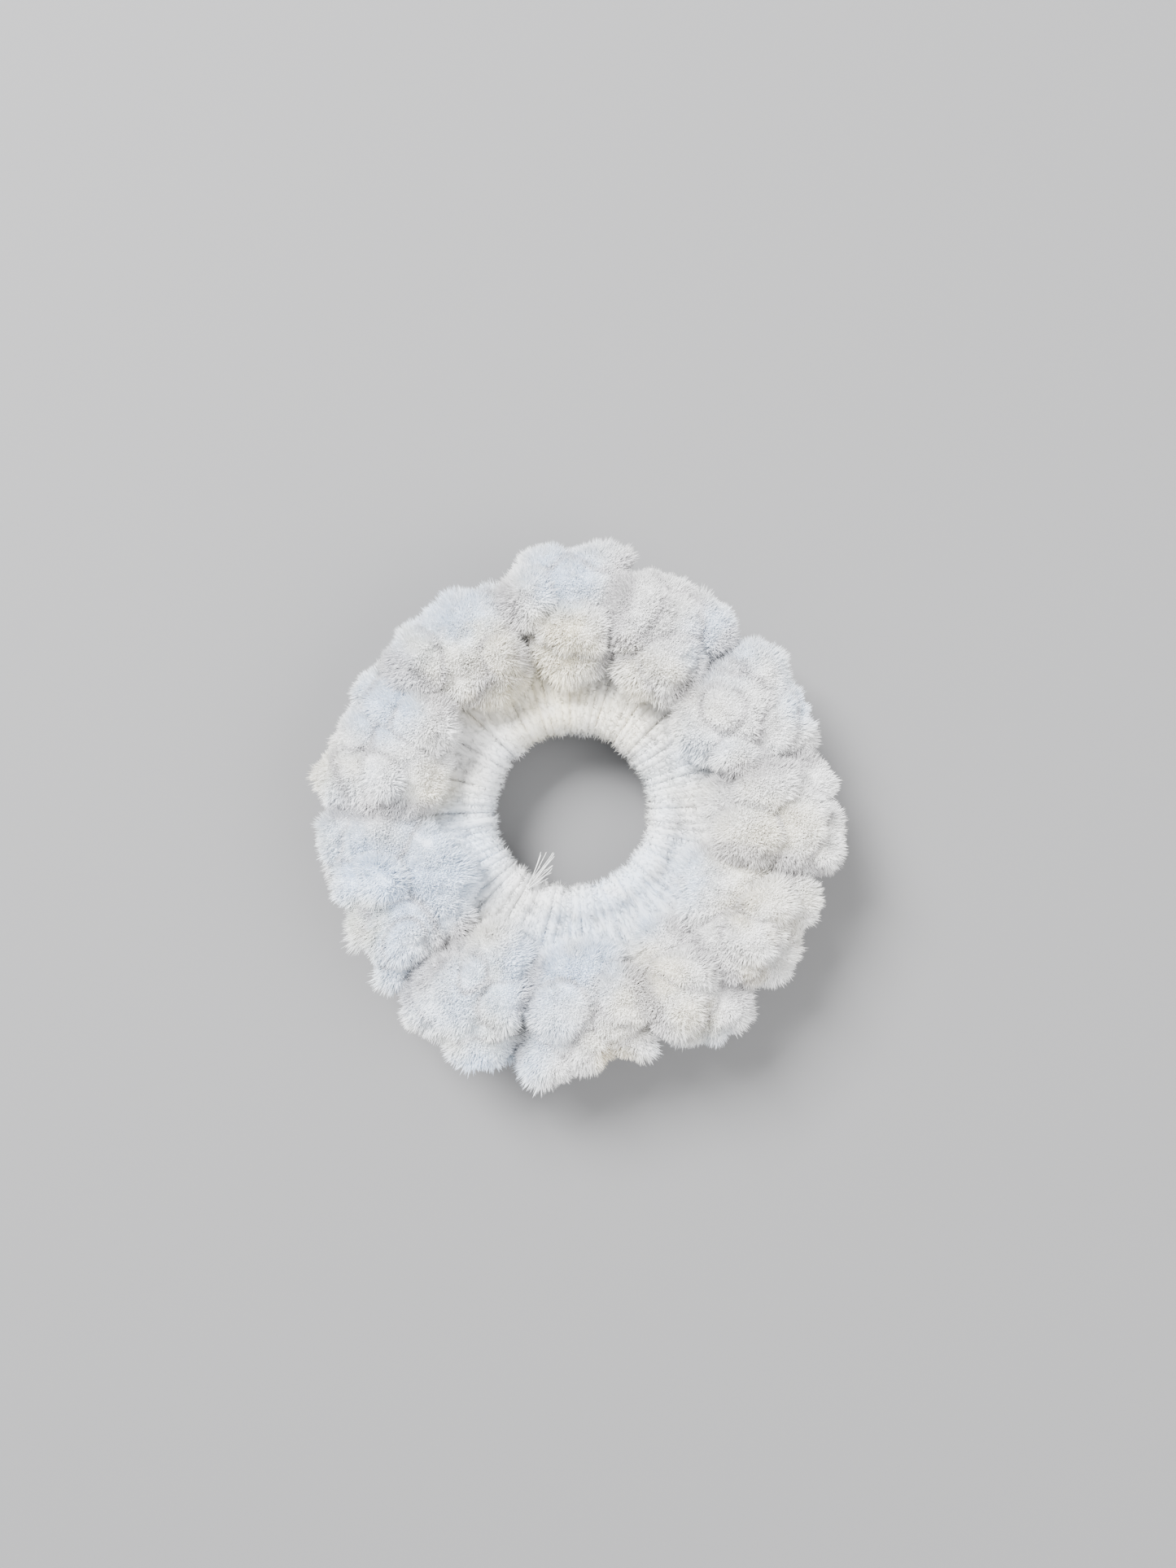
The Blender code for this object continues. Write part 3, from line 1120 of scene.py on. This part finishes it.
def elastic_material():
    """Covered elastic: rings of braid, darker and lower between the threads."""
    made, graph, shader = material("braided_elastic", 0.7, 0.1)
    place = graph.add("ShaderNodeTexCoord").output("Object")
    settings = {"wave_type": "RINGS", "rings_direction": "Z"}
    inputs = {"Vector": place, "Scale": 260.0, "Distortion": 4.0, "Detail": 1.0, "Detail Scale": 3.0}
    braid = graph.add("ShaderNodeTexWave", settings, inputs).output("Fac")
    graph.feed(shader.inputs["Base Color"], graph.mixed(braid, BRAID_DARK, BRAID_LIGHT))
    bump = graph.add("ShaderNodeBump", {}, {"Height": braid, "Strength": 0.5, "Distance": 0.0003})
    graph.feed(shader.inputs["Normal"], bump)
    return made


arc = list(range(OPEN_SIDE, 361 - OPEN_SIDE, ARC_STEP))
under, over = SKIRT_LOW + SKIRT_THIN, SKIRT_HIGH - SKIRT_THIN
wall_outer = circle_points(WALL_RADIUS, arc)
wall_outer += [(SLEEVE_END, under), (SKIRT_EDGE, under), (SKIRT_EDGE, over), (SLEEVE_END, over)]
wall_inner = circle_points(WALL_RADIUS - WALL_THICKNESS, arc + INNER_CLOSING)
elastic_outline = circle_points(ELASTIC_HALF, range(0, 360, ELASTIC_STEP))
BRAID = elastic_material()

for index in range(COUNT):
    start, end = piece_span(index)
    wall = swept(f"stitch_wall_{index + 1:02d}", wall_outer, wall_inner, start, end)
    wear(wall, RIBS)
    blend_between(wall, index, RIM_RADIUS)
    elastic = swept(f"elastic_braid_{index + 1:02d}", elastic_outline, None, start, end)
    wear(elastic, BRAID)
    blend_between(elastic, index, RING_RADIUS - ELASTIC_HALF)
    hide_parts(*covered("elastic", "elastic_join", index))
print("walls and elastics:", COUNT, "of each")

# %% [markdown]
# ## The skirt between the folds
#
# The ruffle starts as a flat round of the same yarn. It is seen from the side, as a soft line between
# the upper and lower folds, and wherever a fold is lifted. So it gets a flat body with a wavy edge, and
# pile that is combed outwards.

# %% Skirt
SKIRT_START, SKIRT_END = 0.0300, SKIRT_RADIUS + 0.0032
SKIRT_HALF = 0.0010
EDGE_WAVE, WAVE_SCALE = 0.0014, 130


def skirt_outline():
    """A flat outline with a round outer edge, as distances from the hole and heights."""
    middle = (SKIRT_HIGH + SKIRT_LOW) / 2
    steps = np.linspace(SKIRT_START, SKIRT_END - SKIRT_HALF, 6)
    lower = [(radius, middle - SKIRT_HALF) for radius in steps]
    upper = [(radius, middle + SKIRT_HALF) for radius in reversed(steps)]
    return lower + [(SKIRT_END, middle)] + upper


sizes = {"Tufts per Square Metre": 6e6, "Tuft Width": 0.0008, "Pile Length": 0.0011}
for index in range(COUNT):
    start, end = piece_span(index)
    name = f"skirt_yarn_{index + 1:02d}"
    body = swept(name + "_body", skirt_outline(), None, start, end)
    points = read_points(body.data)
    radius, angle = polar(points)
    outwards = np.stack([np.cos(angle), np.sin(angle), np.zeros(len(angle))], axis=1)
    wave = [smooth(*(point[:2] * WAVE_SCALE), 5.0) for point in points]
    grown = np.array(wave) * EDGE_WAVE * (radius - SKIRT_START) / (SKIRT_END - SKIRT_START)
    write_points(body.data, points + outwards * grown[:, None])
    flow = body.data.attributes.new("flow", "FLOAT_VECTOR", "POINT")
    flow.data.foreach_set("vector", outwards.astype(np.float32).ravel())
    piece = grow(name, body, PLUSH_PILE, PLUSH, 4000 + 10 * index, **sizes)
    blend_between(piece, index, SKIRT_START)
print("with the skirt:", sum(made_triangles.values()), "triangles")

# %% [markdown]
# ## The yarn's cut tail
#
# Where the work was begun, the core of the yarn comes out at the rim and has frayed into its threads:
# thin, straight and a little shiny, because they carry no pile. They lie in two loose bundles.

# %% Paths and material of the threads
THREAD_HALF = 0.00010
THREAD_TAPER = 0.45
THREAD_STEPS = 12
ROOT_STRAY, BEND_STRAY, BEND_RISE = 0.0003, 0.0006, Vector((0, 0, 0.0006))
THREAD_SHINE = 0.6
THREAD_DARK, THREAD_LIGHT = (0.80, 0.80, 0.79, 1), (0.90, 0.90, 0.88, 1)
TAIL_ROOT = (0.0172, 240.0, 0.0158)
# For each bundle: the distance, angle and height of its end, its spread and how many threads.
BUNDLES = ((0.0106, 244.0, 0.0150, 0.0015, 11), (0.0132, 250.0, 0.0142, 0.0012, 8))
LOOSE_THREAD = ((0.0164, 240.5, 0.0155), (0.0180, 244.5, 0.0161), (0.0196, 246.5, 0.0157))


def around(place):
    """A point from its distance, its angle in degrees and its height."""
    radius, degrees, height = place
    return at(radius, math.radians(degrees), height)


def curved(points, steps):
    """Points on the smooth curve that starts and ends at the first and last of three points."""
    first, second, third = points
    rows = []
    for step in range(steps + 1):
        t = step / steps
        point = first * (1 - t) ** 2 + second * (2 * t * (1 - t)) + third * t**2
        rows.append((*point, THREAD_HALF / STRAND["Core Radius"] * (1 - THREAD_TAPER * t)))
    return np.array(rows)


def stray(rng, size):
    """A random step of at most this size along each axis."""
    return Vector([rng.uniform(-size, size) for axis in range(3)])


def thread_material():
    """Bare thread: smoother than the pile, so a little shiny."""
    made, graph, shader = material("bare_thread", 0.38, 0.0)
    shader.inputs["Specular IOR Level"].default_value = THREAD_SHINE
    place = graph.add("ShaderNodeTexCoord").output("Object")
    tone = noise_at(graph, place, 900.0).between(0.3, 0.7)
    graph.feed(shader.inputs["Base Color"], graph.mixed(tone, THREAD_DARK, THREAD_LIGHT))
    return made


print("threads in the tail:", 1 + sum(bundle[-1] for bundle in BUNDLES))

# %% [markdown]
# ## Two bundles and a loose thread
#
# Each thread starts near the root, bends once and ends within its bundle's spread. The strand tree
# makes the threads too. With few and very thin fibres they look bare.

# %% Tail threads
rng = random.Random(77)
paths = [curved([around(place) for place in LOOSE_THREAD], THREAD_STEPS)]
for radius, degrees, height, spread, count in BUNDLES:
    for thread in range(count):
        root = around(TAIL_ROOT) + stray(rng, ROOT_STRAY)
        tip = around((radius, degrees, height)) + stray(rng, spread)
        bend = (root + tip) / 2 + stray(rng, BEND_STRAY) + BEND_RISE
        paths.append(curved([root, bend, tip], THREAD_STEPS))

sizes = {"Fibres per Metre": 1500.0, "Fibre Width": 0.00005, "Core Step": 0.0004}
source = path_object("tail_threads_path", paths)
piece = grow("tail_threads", source, STRAND_YARN, thread_material(), 3000, **sizes)
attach(piece, "length_01")
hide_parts("yarn_tail")
print("all pieces:", sum(made_triangles.values()), "triangles")

# %% [markdown]
# ## Camera, floor and light
#
# The scrunchie lies on a plain pale surface and is looked at from straight above. White pile shows
# its shape only through soft shadows, so one broad light comes from a side, a weaker one fills in from
# the other, and an even white sky keeps the creases from turning black.

# %% Camera, floor and light
CAMERA_PLACE = (0.0021, 0.0054, 0.243)
FLOOR_HALF, FLOOR_DROP = 3.0, 0.0002
SKY_STRENGTH = 0.9
camera_data = bpy.data.cameras.new("camera")
camera_data.sensor_fit = "VERTICAL"
camera_data.sensor_height = 36
camera_data.lens = 27
camera_data.clip_start = 0.01
camera = bpy.data.objects.new("camera", camera_data)
camera.location = CAMERA_PLACE
bpy.context.collection.objects.link(camera)
bpy.context.scene.camera = camera

floor_mesh = bpy.data.meshes.new("floor")
signs = ((-1, -1), (1, -1), (1, 1), (-1, 1))
corners = [(FLOOR_HALF * x, FLOOR_HALF * y, 0) for x, y in signs]
floor_mesh.from_pydata(corners, [], [(0, 1, 2, 3)])
floor = bpy.data.objects.new("floor", floor_mesh)
floor.location.z = -FLOOR_DROP
bpy.context.collection.objects.link(floor)
floor_material, _, floor_shader = material("floor", 0.9)
floor_shader.inputs["Base Color"].default_value = (0.26, 0.26, 0.265, 1)
floor_mesh.materials.append(floor_material)


def soft_light(name, place, size, power):
    """A square light that faces the origin."""
    data = bpy.data.lights.new(name, "AREA")
    data.size, data.energy = size, power
    made = bpy.data.objects.new(name, data)
    made.location = place
    made.rotation_euler = Vector(place).to_track_quat("Z", "Y").to_euler()
    bpy.context.collection.objects.link(made)


soft_light("key", (-0.5, 0.6, 0.8), 0.5, 42)
soft_light("fill", (0.8, -0.3, 0.8), 1.0, 14)
world = bpy.data.worlds.new("world")
world.use_nodes = True
sky = world.node_tree.nodes["Background"]
sky.inputs["Color"].default_value = (1, 1, 1, 1)
sky.inputs["Strength"].default_value = SKY_STRENGTH
bpy.context.scene.world = world
print("camera at", CAMERA_PLACE)

# %% [markdown]
# ## Finish
